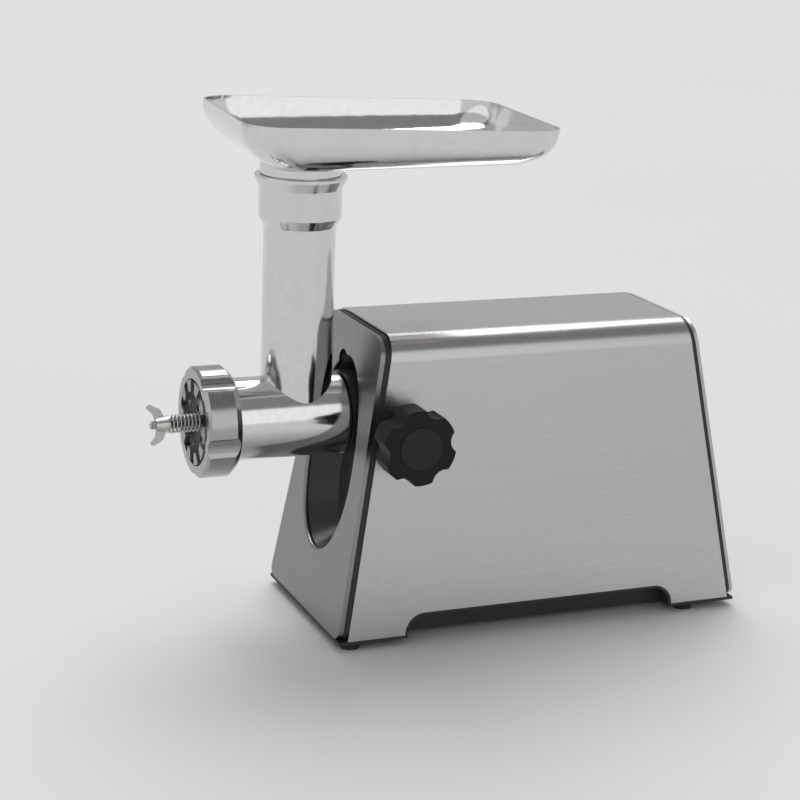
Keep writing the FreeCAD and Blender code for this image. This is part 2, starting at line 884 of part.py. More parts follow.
def lock_groove():
    # The flat-bottomed groove in the tail that the lock's plunger drops into.
    half = groove_width / 2
    return block((lock_setback - half - groove_lead, tail_end + cut_margin),
                 (-tail_diameter, groove_depth - tail_diameter / 2),
                 (drive_height - half, drive_height + half))


def head_bush():
    inner = journal_diameter + 2 * running_gap
    return ring_x(head_bush_outer, inner, barrel_rear - barrel_back_wall, tail_end)


def ring_nut():
    front = -ring_front
    back = front + ring_length
    body = cylinder_x(ring_outer, front + ring_front_chamfer, back - ring_rear_chamfer)
    face = cone_x(ring_outer - 2 * ring_front_chamfer, ring_outer, front, front + ring_front_chamfer)
    skirt_outer = nose_outer + 2 * (seat_gap + ring_skirt_wall)
    skirt = cone_x(ring_outer, skirt_outer, back - ring_rear_chamfer, back)
    ring = joined([face, body, skirt])
    place = ring_outer / 2 - ring_scallop_depth + ring_scallop
    scallop = cylinder_x(2 * ring_scallop, front - cut_margin, back + cut_margin, -place)
    half_step = 180.0 / ring_lobes
    ring = ring.cut(group(around(scallop, ring_lobes, half_step - ring_first_lobe))).Solids[0]
    ring = ring.makeFillet(ring_lobe_round, corner_lines(ring))
    ring = ring.cut(cylinder_x(ring_lip_opening, front - cut_margin, back))
    return ring.cut(cylinder_x(nose_outer + 2 * seat_gap, front + ring_lip, back + cut_margin))


def outer_burr():
    flange_front = barrel_front - burr_flange
    flange = cylinder_x(nose_outer - 2 * seat_gap, flange_front, barrel_front)
    boss = cylinder_x(burr_boss_diameter, burr_face, flange_front)
    plug = cylinder_x(barrel_bore - 2 * seat_gap, barrel_front, barrel_front + burr_plug)
    burr = joined([boss, flange, plug])
    half = burr_notch_width / 2
    outer = burr_boss_diameter / 2
    notch = block((burr_face - cut_margin, flange_front - burr_flange_gap), (-half, half),
                  (drive_height + outer - burr_notch_radial, drive_height + outer + cut_margin))
    slot_end = outer - burr_notch_radial - burr_slot_setback
    plug_end = barrel_front + burr_plug + cut_margin
    slot = block((burr_face - cut_margin, plug_end), (-burr_slot_width / 2, burr_slot_width / 2),
                 (drive_height + slot_end - burr_slot_length, drive_height + slot_end))
    burr = burr.cut(group(around(notch, burr_notches) + around(slot, burr_slots, 180.0 / burr_slots)))
    burr = burr.cut(cylinder_x(burr_pocket_diameter, burr_face - cut_margin, pocket_floor))
    return burr.cut(cylinder_x(stud_diameter + 2 * seat_gap, burr_face, plug_end))


def inner_burr():
    disc = cylinder_x(barrel_bore - 2 * inner_burr_side_gap, inner_burr_front, inner_burr_back)
    half = inner_burr_groove / 2
    groove = block((inner_burr_front - cut_margin, inner_burr_front + inner_burr_groove), (-half, half),
                   (drive_height + inner_burr_hub / 2, drive_height + barrel_bore))
    disc = disc.cut(group(around(groove, inner_burr_teeth)))
    return disc.cut(cylinder_x(stud_diameter, inner_burr_front - cut_margin, inner_burr_back + cut_margin))


def auger():
    front = inner_burr_back
    back = barrel_rear - barrel_back_wall - seat_gap
    core = cylinder_x(auger_core_diameter, front, back)
    journal = cylinder_x(journal_diameter, back, tail_end + seat_gap)
    flight = auger_flight(front + auger_flight_thickness, back - auger_flight_thickness)
    screw = joined([core, journal, flight])
    screw = screw.cut(cylinder_x(stud_diameter, front - cut_margin, front + stud_grip))
    return screw.cut(hexagon_x(hex_across, tail_end - hex_length, tail_end + cut_margin))


def auger_flight(start, end):
    # One helical flight: a flat bar wound round the core.
    helix = Part.makeHelix(auger_pitch, end - start, auger_core_diameter / 2)
    inner = auger_core_diameter / 2 - fuse_overlap
    outer = barrel_bore / 2 - auger_side_gap
    half = auger_flight_thickness / 2
    edge = half * auger_edge_share
    corners = [V(inner, 0, -half), V(outer, 0, -edge), V(outer, 0, edge), V(inner, 0, half)]
    profile = Part.makePolygon(corners + corners[:1])
    flight = Part.Wire(helix).makePipeShell([profile], True, True)
    flight.rotate(V(0, 0, 0), V(0, 1, 0), 90)
    flight.translate(V(start, 0, drive_height))
    return flight


def auger_drive():
    return hexagon_x(hex_across, tail_end - hex_length, tail_end + hex_length)


def burr_stud():
    stud = cylinder_x(stud_diameter, stud_front, inner_burr_back + stud_grip)
    tip = [edge for edge in stud.Edges if edge.BoundBox.XMax < stud_front + edge_round]
    return stud.makeChamfer(stud_diameter / 8, tip)


def spring_seat():
    return ring_x(seat_diameter, stud_diameter + 2 * seat_gap, spring_rear, spring_rear + seat_thickness)


def front_washer():
    start = spring_front - washer_thickness
    return ring_x(washer_diameter, stud_diameter + 2 * seat_gap, start, spring_front)


def tangent_arc(start, heading, end):
    # The arc that leaves a point along a heading and reaches another point.
    chord = end - start
    along = V(chord).normalize()
    lean = acos(max(-1.0, min(1.0, heading.dot(along))))
    side = (heading - along * heading.dot(along)).normalize()
    middle = start + chord * 0.5 + side * (chord.Length / 2 * tan(lean / 2))
    return Part.Arc(start, middle, end).toShape()


def biarc(start, start_heading, end, end_heading):
    # Two arcs that share a heading where they meet.
    chord = end - start
    both = start_heading + end_heading
    a = both.dot(both) - 4.0
    b = -2.0 * chord.dot(both)
    c = chord.dot(chord)
    reach = (-b - sqrt(b * b - 4 * a * c)) / (2 * a)
    meet = (start + start_heading * reach + end - end_heading * reach) * 0.5
    heading = (end - end_heading * reach - start - start_heading * reach).normalize()
    return [tangent_arc(start, start_heading, meet), tangent_arc(meet, heading, end)]


def spring_path():
    # The wire's centre line: a helix with both ends turned to stand square on the washers.
    radius = (spring_outer - spring_wire) / 2
    bend = spring_bend * spring_wire
    straight = spring_wire
    coil_start = spring_rear - straight - bend
    coil_run = spring_length - 2 * (straight + bend)
    steps = 4 * spring_turns
    rise = coil_run / (spring_turns * 2 * pi * radius)

    def point(step):
        angle = step * pi / 2
        x = coil_start - coil_run * step / steps
        return V(x, radius * cos(angle), drive_height + radius * sin(angle))

    def heading(step):
        angle = step * pi / 2
        return V(-rise, -sin(angle), cos(angle)).normalize()

    ahead = V(-1, 0, 0)
    first = point(0) - (heading(0) + ahead) * bend
    last = point(steps) + (heading(steps) + ahead) * bend
    first_end = V(spring_rear, first.y, first.z)
    last_end = V(spring_front, last.y, last.z)
    edges = [Part.LineSegment(first_end, first).toShape()]
    edges += biarc(first, ahead, point(0), heading(0))
    for step in range(steps):
        edges += biarc(point(step), heading(step), point(step + 1), heading(step + 1))
    edges += biarc(point(steps), heading(steps), last, ahead)
    edges.append(Part.LineSegment(last, last_end).toShape())
    return edges


def least_wire_gap(edges, spacing=0.5, neighbour=6.0):
    # The least clear space between parts of the wire that lie further apart along it than a few wires.
    points = []
    length = 0.0
    for edge in edges:
        count = max(2, int(edge.Length / spacing))
        for index, place in enumerate(edge.discretize(count)[:-1]):
            points.append((length + edge.Length * index / (count - 1), place))
        length += edge.Length
    least = min((b[1] - a[1]).Length for i, a in enumerate(points) for b in points[i + 1:]
                if b[0] - a[0] > neighbour * spring_wire)
    return least - spring_wire


def burr_spring():
    edges = spring_path()
    print("spring: least gap to itself %.2f mm" % least_wire_gap(edges))
    start = edges[0].valueAt(edges[0].FirstParameter)
    circle = Part.Circle(start, V(1, 0, 0), spring_wire / 2)
    profile = Part.Wire(circle.toShape())
    return Part.Wire(edges).makePipeShell([profile], True, False)


def wing_nut():
    # A round hub with two ears that sweep forwards past its front.
    hub = cone_x(wing_hub_tip, wing_hub_diameter, nut_front, nut_rear)
    half = wing_thickness / 2
    root = drive_height + wing_hub_tip / 2 - fuse_overlap
    shoulder = drive_height + wing_reach * wing_shoulder_share
    waist = drive_height + wing_reach * wing_waist_share
    top = drive_height + wing_reach
    tip = nut_front - wing_sweep
    corners = [V(nut_rear - half, -half, root), V(nut_rear - wing_hub_length / 2, -half, shoulder),
               V(tip + wing_round, -half, top), V(tip, -half, top - wing_tip_round),
               V(nut_front - half, -half, waist), V(nut_front, -half, root)]
    radii = [edge_round, wing_round, wing_tip_round, wing_tip_round, wing_tip_round, edge_round]
    wing = extruded(rounded_wire(corners, radii), V(0, wing_thickness, 0))
    nut = joined([hub] + around(wing, 2))
    hole = cylinder_x(stud_diameter + 2 * running_gap, nut_front - cut_margin, nut_rear + cut_margin)
    return turned(nut.cut(hole), wing_turn)


# Chassis, gearbox and gears

def gearbox_outline(x, margin):
    # The gearbox outline round all three shafts.
    slow_tip = slow_module * (slow_gear_teeth / 2 + 1)
    fast_tip = fast_module * (fast_gear_teeth / 2 + 1)
    left = min(-slow_tip, idler_y - fast_tip) - margin
    right = slow_tip + margin
    low = motor_z - bearing_diameter - margin
    high = drive_height + slow_tip + margin
    corners = [V(x, left, low), V(x, right, low), V(x, right, high), V(x, left, high)]
    return rounded_wire(corners, [gearbox_corner] * 4)


def gearbox_screw_places():
    box = gearbox_outline(0, gearbox_margin).BoundBox
    edge = gearbox_corner * screw_corner_share
    return [(y, z) for y in (box.YMin + edge, box.YMax - edge) for z in (box.ZMin + edge, box.ZMax - edge)]


def socket_screw_places():
    radius = (socket_flange_diameter + socket_outer) / 4
    angles = [pi / 4 + step * pi / 2 for step in range(4)]
    return [(radius * cos(angle), drive_height + radius * sin(angle)) for angle in angles]


def output_bush_outer():
    return output_shaft_diameter + 2 * bush_wall


def idler_bush_outer():
    return idler_shaft_diameter + 2 * bush_wall


def chassis_bracket():
    box = gearbox_outline(0, gearbox_margin).BoundBox
    half = chassis_width / 2
    upper = extruded(gearbox_outline(chassis_front, gearbox_margin), V(chassis_sheet, 0, 0))
    lower = block((chassis_front, chassis_back), (-half, half), (body_base, box.ZMin + gearbox_corner))
    foot_end = chassis_back + chassis_foot
    foot = block((chassis_front, foot_end), (-half, half), (body_base, body_base + chassis_sheet))
    bracket = joined([upper, lower, foot])
    front = chassis_front - cut_margin
    back = chassis_back + cut_margin
    cuts = [cylinder_x(output_bush_outer(), front, back),
            cylinder_x(idler_bush_outer(), front, back, idler_y, idler_z)]
    for y, z in gearbox_screw_places() + socket_screw_places():
        cuts.append(cylinder_x(gearbox_screw_diameter, front, back, y, z))
    for x, y in chassis_screw_places():
        cuts.append(cylinder_z(gearbox_screw_diameter, body_base, body_base + chassis_sheet, x, y))
    return bracket.cut(group(cuts))


def chassis_screw_places():
    x = chassis_back + chassis_foot * chassis_screw_place
    return [(x, side * chassis_width * chassis_screw_spread) for side in (-1, 1)]


def chassis_screws():
    made = []
    top = body_base + chassis_sheet
    for x, y in chassis_screw_places():
        head = cylinder_z(2 * gearbox_screw_diameter, top, top + gearbox_screw_diameter / 2, x, y)
        made.append(head.fuse(cylinder_z(gearbox_screw_diameter, body_base, top, x, y)).removeSplitter())
    return group(made)


def socket_screws():
    head = gearbox_screw_diameter / 2
    tip = chassis_front - socket_screw_grip
    return group([screw_x(gearbox_screw_diameter, chassis_back + head, chassis_back, tip, y, z)
                  for y, z in socket_screw_places()])


def gearbox_screws():
    head = gearbox_screw_diameter / 2
    tip = chassis_back + gearbox_screw_grip
    return group([screw_x(gearbox_screw_diameter, chassis_front - head, chassis_front, tip, y, z)
                  for y, z in gearbox_screw_places()])


def gearbox_housing():
    case = extruded(gearbox_outline(chassis_back, gearbox_margin), V(gearbox_end - chassis_back, 0, 0))
    hollow_margin = gearbox_margin - gearbox_wall
    room = gearbox_end - gearbox_wall - chassis_back
    hollow = extruded(gearbox_outline(chassis_back, hollow_margin), V(room, 0, 0))
    posts = [cylinder_x(gearbox_post_diameter, chassis_back, gearbox_end, y, z)
             for y, z in gearbox_screw_places()]
    hubs = [cylinder_x(output_tail_diameter + 4 * bush_wall, rear_hub_start(), gearbox_end),
            cylinder_x(idler_bush_outer() + 2 * bush_wall, rear_hub_start(), gearbox_end, idler_y, idler_z)]
    whole = case.cut(hollow).fuse(group(posts).common(case)).fuse(group(hubs)).removeSplitter()
    end = gearbox_end + cut_margin
    cuts = [cylinder_x(output_tail_diameter + 2 * bush_wall, chassis_back, end),
            cylinder_x(idler_bush_outer(), chassis_back, end, idler_y, idler_z),
            cylinder_x(bearing_diameter + 2 * seat_gap, chassis_back, end, 0, motor_z)]
    tip = chassis_back + gearbox_screw_grip
    for y, z in gearbox_screw_places():
        cuts.append(cylinder_x(gearbox_screw_diameter, chassis_back, tip, y, z))
    for y, z in motor_screw_places():
        cuts.append(cylinder_x(gearbox_screw_diameter, fast_end, end, y, z))
    return whole.cut(group(cuts))


def rear_hub_start():
    return fast_end + hub_setback


def motor_screw_places():
    reach = motor_diameter / 2 - motor_screw_edge
    low = motor_z - reach * sin(radians(motor_screw_angle))
    return [(side * reach * cos(radians(motor_screw_angle)), low) for side in (-1, 1)]


def motor_screws():
    head = gearbox_screw_diameter / 2
    inside = gearbox_end - gearbox_wall
    return group([screw_x(gearbox_screw_diameter, inside - head, inside, motor_front + motor_face, y, z)
                  for y, z in motor_screw_places()])


def tooth_outline(teeth, module, shift, phase):
    # A spur gear's outline: involute flanks in a few steps from the base circle to the tip.
    alpha = radians(pressure_angle)
    pitch_radius = module * teeth / 2
    base_radius = pitch_radius * cos(alpha)
    tip_radius = pitch_radius + module * (1 + shift - tooth_tip_cut)
    root_radius = pitch_radius + module * (shift - tooth_root)
    half = (pi / 2 + 2 * shift * tan(alpha)) / teeth - tooth_backlash / 4 / pitch_radius

    def half_angle(radius):
        local = acos(min(1.0, base_radius / max(radius, base_radius)))
        return half + tan(alpha) - alpha - tan(local) + local

    start = max(base_radius, root_radius)
    radii = [start + (tip_radius - start) * step / flank_steps for step in range(flank_steps + 1)]
    if root_radius < start:
        radii.insert(0, root_radius)
    points = []
    for tooth in range(teeth):
        middle = phase + 2 * pi * tooth / teeth
        flank = [(radius, middle - half_angle(radius)) for radius in radii]
        flank += [(radius, middle + half_angle(radius)) for radius in reversed(radii)]
        points += [V(0, radius * cos(angle), radius * sin(angle)) for radius, angle in flank]
    return Part.makePolygon(points + points[:1])


def gear(teeth, module, shift, phase, bore, start, end, y, z):
    outline = Part.Face(tooth_outline(teeth, module, shift, phase)).extrude(V(end - start, 0, 0))
    outline.translate(V(start, y, z))
    return outline.cut(cylinder_x(bore, start - cut_margin, end + cut_margin, y, z))


def slow_mesh():
    # Direction from the output shaft to the idler shaft.
    return atan2(idler_z - drive_height, idler_y)


def fast_mesh():
    # Direction from the idler shaft to the motor shaft.
    return atan2(motor_z - idler_z, -idler_y)


def output_gear():
    wheel = gear(slow_gear_teeth, slow_module, -profile_shift, slow_mesh(), output_tail_diameter,
                 slow_start, slow_end, 0, drive_height)
    hole = cylinder_x(slow_hole_diameter, slow_start, slow_end, slow_hole_place)
    return wheel.cut(group(around(hole, gear_holes)))


def idler_pinion():
    phase = slow_mesh() + pi + pi / slow_pinion_teeth
    return gear(slow_pinion_teeth, slow_module, profile_shift, phase, idler_shaft_diameter,
                slow_start - pinion_overhang, slow_end + pinion_overhang, idler_y, idler_z)


def idler_gear():
    wheel = gear(fast_gear_teeth, fast_module, -profile_shift, fast_mesh(), idler_shaft_diameter,
                 fast_start, fast_end, idler_y, idler_z)
    hole = cylinder_x(fast_hole_diameter, fast_start, fast_end, idler_y + fast_hole_place, idler_z)
    return wheel.cut(group(around(hole, gear_holes, 0, idler_y, idler_z)))


def motor_pinion():
    phase = fast_mesh() + pi + pi / fast_pinion_teeth
    return gear(fast_pinion_teeth, fast_module, profile_shift, phase, pinion_bore,
                fast_start - pinion_overhang, fast_end + pinion_overhang, 0, motor_z)


def output_shaft():
    front = tail_end + shaft_end_gap
    large = cylinder_x(output_shaft_diameter, front, slow_start)
    small = cylinder_x(output_tail_diameter, slow_start, gearbox_end)
    shaft = large.fuse(small).removeSplitter()
    socket_end = tail_end + hex_length + cut_margin
    return shaft.cut(hexagon_x(hex_across + 2 * seat_gap, front - cut_margin, socket_end))


def output_front_bush():
    return ring_x(output_bush_outer(), output_shaft_diameter + 2 * running_gap,
                  chassis_front - bush_length / 2, chassis_front + bush_length / 2)


def output_rear_bush():
    return ring_x(output_tail_diameter + 2 * bush_wall, output_tail_diameter + 2 * running_gap,
                  rear_hub_start(), gearbox_end)


def idler_shaft():
    return cylinder_x(idler_shaft_diameter, chassis_front, gearbox_end, idler_y, idler_z)


def idler_bushes():
    inner = idler_shaft_diameter + 2 * running_gap
    return group([ring_x(idler_bush_outer(), inner, chassis_front, chassis_back, idler_y, idler_z),
                  ring_x(idler_bush_outer(), inner, rear_hub_start(), gearbox_end, idler_y, idler_z)])


# Motor

def rotor_outer():
    return motor_diameter - 2 * (motor_wall + magnet_thickness + rotor_air_gap)


def motor_can():
    can = cylinder_x(motor_diameter, motor_front, motor_back, 0, motor_z)
    face_end = motor_front + motor_face
    front = motor_front - cut_margin
    cuts = [cylinder_x(motor_diameter - 2 * motor_wall, face_end, motor_back + cut_margin, 0, motor_z),
            cylinder_x(bearing_diameter, front, motor_back, 0, motor_z)]
    for y, z in motor_screw_places():
        cuts.append(cylinder_x(gearbox_screw_diameter, front, face_end, y, z))
    return can.cut(group(cuts))


def motor_magnets():
    outer = motor_diameter - 2 * motor_wall
    start = motor_front + rotor_setback
    ring = ring_x(outer, outer - 2 * magnet_thickness, start, start + rotor_length, 0, motor_z)
    half_gap = (pi - radians(magnet_span)) / 2
    side = motor_diameter * sin(half_gap)
    high = motor_z + motor_diameter * cos(half_gap)
    wedge = [V(start, 0, motor_z), V(start, side, high), V(start, -side, high)]
    cut = extruded(Part.makePolygon(wedge + wedge[:1]), V(rotor_length, 0, 0))
    return ring.cut(group(around(cut, 2, 0, 0, motor_z)))


def motor_shaft():
    fan_end = bell_back + fan_gap + fan_thickness
    main = cylinder_x(motor_shaft_diameter, motor_front - seat_gap, fan_end, 0, motor_z)
    nose = cylinder_x(pinion_bore, fast_start - pinion_overhang, motor_front, 0, motor_z)
    return main.fuse(nose).removeSplitter()


def rotor_core():
    start = motor_front + rotor_setback
    radius = rotor_outer() / 2
    core = cylinder_x(rotor_outer(), start, start + rotor_length, 0, motor_z)
    slot = block((start, start + rotor_length), (-rotor_slot_width / 2, rotor_slot_width / 2),
                 (motor_z + radius - rotor_slot_depth, motor_z + radius + cut_margin))
    core = core.cut(group(around(slot, rotor_slots, 0, 0, motor_z)))
    return core.cut(cylinder_x(motor_shaft_diameter, start, start + rotor_length, 0, motor_z))


def commutator_start():
    return motor_back - commutator_length - commutator_setback


def commutator():
    start = commutator_start()
    return ring_x(commutator_diameter, motor_shaft_diameter, start, start + commutator_length, 0, motor_z)


def brushes():
    start = commutator_start() + (commutator_length - brush_width) / 2
    inner = commutator_diameter / 2 + brush_gap
    outer = motor_diameter / 2 - motor_wall - running_gap
    half = brush_width / 2
    brush = block((start, start + brush_width), (inner, outer), (motor_z - half, motor_z + half))
    return group(around(brush, 2, 0, 0, motor_z))


def motor_bell():
    bell = cylinder_x(motor_diameter, motor_back, bell_back, 0, motor_z)
    return bell.cut(cylinder_x(bearing_diameter, motor_back - cut_margin, bell_back + cut_margin, 0, motor_z))


def motor_bearings():
    places = (motor_front, bell_back - bearing_length)
    inner = motor_shaft_diameter + 2 * running_gap
    return group([ring_x(bearing_diameter, inner, start, start + bearing_length, 0, motor_z)
                  for start in places])


def cooling_fan():
    start = bell_back + fan_gap
    end = start + fan_thickness
    hub = cylinder_x(fan_hub_diameter, start, end, 0, motor_z)
    disc = cylinder_x(fan_diameter, start, start + fan_sheet, 0, motor_z)
    low = motor_z + fan_hub_diameter / 2 - fuse_overlap
    high = motor_z + fan_diameter / 2 - fuse_overlap
    blade = block((start, end), (-fan_sheet / 2, fan_sheet / 2), (low, high))
    fan = joined([hub, disc] + around(blade, fan_blades, 0, 0, motor_z))
    return fan.cut(cylinder_x(motor_shaft_diameter, start - cut_margin, end + cut_margin, 0, motor_z))


def motor_saddle():
    start = motor_back - 2 * saddle_length
    end = start + saddle_length
    post = block((start, end), (-saddle_width / 2, saddle_width / 2), (body_base, motor_z))
    seat = cylinder_x(motor_diameter + 2 * running_gap, start - cut_margin, end + cut_margin, 0, motor_z)
    return post.cut(seat)


# Feed tray

def tray_section(drop, inset, front_inset, tilt):
    # One level of the tray's wall: a rounded rectangle, tilted along its length about the tube.
    front = -tray_front_reach + front_inset
    back = tray_rear_reach - inset
    half = tray_width / 2 - inset
    low = tray_rim_height - drop
    slope = tan(radians(tilt))
    corners = [V(front, -half, low + front * slope), V(back, -half, low + back * slope),
               V(back, half, low + back * slope), V(front, half, low + front * slope)]
    return rounded_wire(corners, [tray_corner - inset / 3] * 4)


def tray_bowl(wall):
    # The tray's form set in by a wall: steep sides that curve under, a front that slopes down to the tube.
    sections = []
    for share, inset, front_inset, tilt_share in tray_levels:
        tilt = tray_rim_tilt + tilt_share * (tray_floor_tilt - tray_rim_tilt)
        drop = share * (tray_depth - wall)
        sections.append(tray_section(drop, inset + wall, front_inset + wall, tilt))
    return Part.makeLoft(sections, True, False)


def feed_tray():
    bowl = tray_bowl(0.0)
    hollow = tray_bowl(tray_sheet)
    neck_bottom = tube_top + seat_gap
    neck = cylinder_z(tray_neck_outer, neck_bottom, tray_rim_height - tray_depth + tray_sheet)
    spigot_outer = collar_outer - 2 * collar_wall - 2 * seat_gap
    spigot_bottom = neck_bottom - collar_bore_depth + tray_spigot_end_gap
    spigot = cylinder_z(spigot_outer, spigot_bottom, neck_bottom)
    mouth = cylinder_z(spigot_outer - 2 * tray_spigot_wall, spigot_bottom - cut_margin, tray_rim_height)
    tray = joined([bowl, neck, spigot]).cut(hollow).cut(mouth)
    tray.rotate(V(0, 0, 0), V(0, 0, 1), tray_turn)
    return tray


makers = [housing_wrap, base, feet, foot_screws, front_panel, front_seam, recess_liner,
          rear_panel, rear_seam, rear_screws, switch_body, power_rocker, cord_gland,
          head_socket, thread_insert, lock_plunger, lock_stud, lock_knob, knob_cap,
          grinder_head, head_bush, ring_nut, outer_burr, inner_burr, auger, auger_drive, burr_stud,
          spring_seat, burr_spring, front_washer, wing_nut, chassis_bracket, chassis_screws,
          socket_screws, gearbox_screws, gearbox_housing, motor_screws, output_gear, idler_pinion,
          idler_gear, motor_pinion, output_shaft, output_front_bush, output_rear_bush, idler_shaft,
          idler_bushes, motor_can, motor_magnets, motor_shaft, rotor_core, commutator, brushes,
          motor_bell, motor_bearings, cooling_fan, motor_saddle, feed_tray]
nodes = {maker.__name__: maker() for maker in makers}

# The finished part stands with the middle of its outline on the table at the origin.
outline = group(list(nodes.values())).optimalBoundingBox(False)
shift = V(-outline.Center.x, -outline.Center.y, -outline.ZMin)
os.makedirs("parts", exist_ok=True)
for name, shape in nodes.items():
    shape.translate(shift)
    shape.exportStep("parts/%s.step" % name)
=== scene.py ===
import bpy
import json
from math import cos, pi, radians, sin
from mathutils import Matrix, Vector


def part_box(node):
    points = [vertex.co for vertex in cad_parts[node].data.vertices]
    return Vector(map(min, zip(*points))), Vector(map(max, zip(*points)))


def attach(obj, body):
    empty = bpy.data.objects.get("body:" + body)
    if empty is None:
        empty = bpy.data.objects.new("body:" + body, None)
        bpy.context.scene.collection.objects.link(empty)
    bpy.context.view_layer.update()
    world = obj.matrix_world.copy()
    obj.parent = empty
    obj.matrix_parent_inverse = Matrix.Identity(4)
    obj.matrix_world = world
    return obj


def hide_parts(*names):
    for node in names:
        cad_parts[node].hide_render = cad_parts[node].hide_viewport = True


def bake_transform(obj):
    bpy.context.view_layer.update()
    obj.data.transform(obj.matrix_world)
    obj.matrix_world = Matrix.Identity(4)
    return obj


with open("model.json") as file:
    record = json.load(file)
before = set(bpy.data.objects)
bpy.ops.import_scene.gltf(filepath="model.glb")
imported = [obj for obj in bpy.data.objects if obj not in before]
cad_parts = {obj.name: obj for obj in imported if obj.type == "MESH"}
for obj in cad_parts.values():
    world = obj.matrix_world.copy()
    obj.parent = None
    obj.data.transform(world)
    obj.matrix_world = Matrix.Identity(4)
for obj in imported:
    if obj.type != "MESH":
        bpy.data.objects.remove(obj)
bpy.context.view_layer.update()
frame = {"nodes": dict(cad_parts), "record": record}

joints = {joint["name"]: joint for joint in frame["record"]["behaviour"]["joints"]}

# Where the feed tube's axis meets the drive axis, in metres
drive_center = Vector(joints["auger_spin"]["pos_m"])

# The finishes' fine grain and broad clouds of polish. A scale counts repeats to a metre, low and high take
# the middle part of a noise value, and the relief is in metres
cloud_scale = 14.0
cloud_detail = 2.0
grain_detail = 4.0
noise_low = 0.3
noise_high = 0.7
grain_relief = 0.0002

# Pitch of the burr stud's thread, in metres
thread_pitch = 0.001


# Shader helpers: a node is added with its plain settings, and sockets are joined by name

def add_node(tree, kind, **settings):
    node = tree.nodes.new(kind)
    for key, value in settings.items():
        setattr(node, key, value)
    return node


def set_inputs(node, **values):
    for key, value in values.items():
        node.inputs[key.replace("_", " ")].default_value = value


def new_group(name, inputs, outputs):
    tree = bpy.data.node_groups.new(name, "ShaderNodeTree")
    for socket, kind in inputs:
        tree.interface.new_socket(socket, in_out="INPUT", socket_type=kind)
    for socket, kind in outputs:
        tree.interface.new_socket(socket, in_out="OUTPUT", socket_type=kind)
    return tree, tree.nodes.new("NodeGroupInput"), tree.nodes.new("NodeGroupOutput")


def blend_colors(tree, factor, first, second):
    mix = add_node(tree, "ShaderNodeMix", data_type="RGBA")
    tree.links.new(factor, mix.inputs["Factor"])
    tree.links.new(first, mix.inputs["A"])
    tree.links.new(second, mix.inputs["B"])
    return mix.outputs["Result"]


def blend_values(tree, factor, first, second):
    mix = add_node(tree, "ShaderNodeMix", data_type="FLOAT")
    tree.links.new(factor, mix.inputs["Factor"])
    tree.links.new(first, mix.inputs["A"])
    tree.links.new(second, mix.inputs["B"])
    return mix.outputs["Result"]


def stretched_noise(tree, stretch, scale, detail):
    # Noise on the piece's own coordinates, drawn out along the axes by a stretch.
    place = add_node(tree, "ShaderNodeTexCoord")
    pull = add_node(tree, "ShaderNodeVectorMath", operation="MULTIPLY")
    noise = add_node(tree, "ShaderNodeTexNoise")
    noise.inputs["Detail"].default_value = detail
    tree.links.new(place.outputs["Object"], pull.inputs[0])
    tree.links.new(stretch, pull.inputs[1])
    tree.links.new(pull.outputs["Vector"], noise.inputs["Vector"])
    tree.links.new(scale, noise.inputs["Scale"])
    return noise.outputs["Fac"]


def spread(tree, value, low, high):
    # The middle part of a noise value opened out to run from 0 to 1.
    reach = add_node(tree, "ShaderNodeMapRange")
    set_inputs(reach, From_Min=low, From_Max=high)
    tree.links.new(value, reach.inputs["Value"])
    return reach.outputs["Result"]


def halved(tree, value):
    half = add_node(tree, "ShaderNodeMath", operation="MULTIPLY")
    half.inputs[1].default_value = 0.5
    tree.links.new(value, half.inputs[0])
    return half.outputs["Value"]


def make_grain_group():
    # Fine grain between two shades, with a height for bump. The roughness lies between two values, and the
    # grain and broad clouds of polish have equal shares in it.
    inputs = [("Stretch", "NodeSocketVector"), ("Scale", "NodeSocketFloat"),
              ("Light", "NodeSocketColor"), ("Dark", "NodeSocketColor"),
              ("Smooth", "NodeSocketFloat"), ("Rough", "NodeSocketFloat")]
    outputs = [("Color", "NodeSocketColor"), ("Roughness", "NodeSocketFloat"), ("Height", "NodeSocketFloat")]
    tree, given, result = new_group("surface_grain", inputs, outputs)
    grain = stretched_noise(tree, given.outputs["Stretch"], given.outputs["Scale"], grain_detail)
    fine = spread(tree, grain, noise_low, noise_high)
    broad = add_node(tree, "ShaderNodeTexNoise")
    set_inputs(broad, Scale=cloud_scale, Detail=cloud_detail)
    tree.links.new(add_node(tree, "ShaderNodeTexCoord").outputs["Object"], broad.inputs["Vector"])
    polish = spread(tree, broad.outputs["Fac"], noise_low, noise_high)
    cloud = add_node(tree, "ShaderNodeMath", operation="ADD")
    tree.links.new(halved(tree, polish), cloud.inputs[0])
    tree.links.new(halved(tree, fine), cloud.inputs[1])
    shade = blend_colors(tree, fine, given.outputs["Dark"], given.outputs["Light"])
    rough = blend_values(tree, cloud.outputs["Value"], given.outputs["Smooth"], given.outputs["Rough"])
    tree.links.new(shade, result.inputs["Color"])
    tree.links.new(rough, result.inputs["Roughness"])
    tree.links.new(fine, result.inputs["Height"])
    return tree


grain_group = make_grain_group()


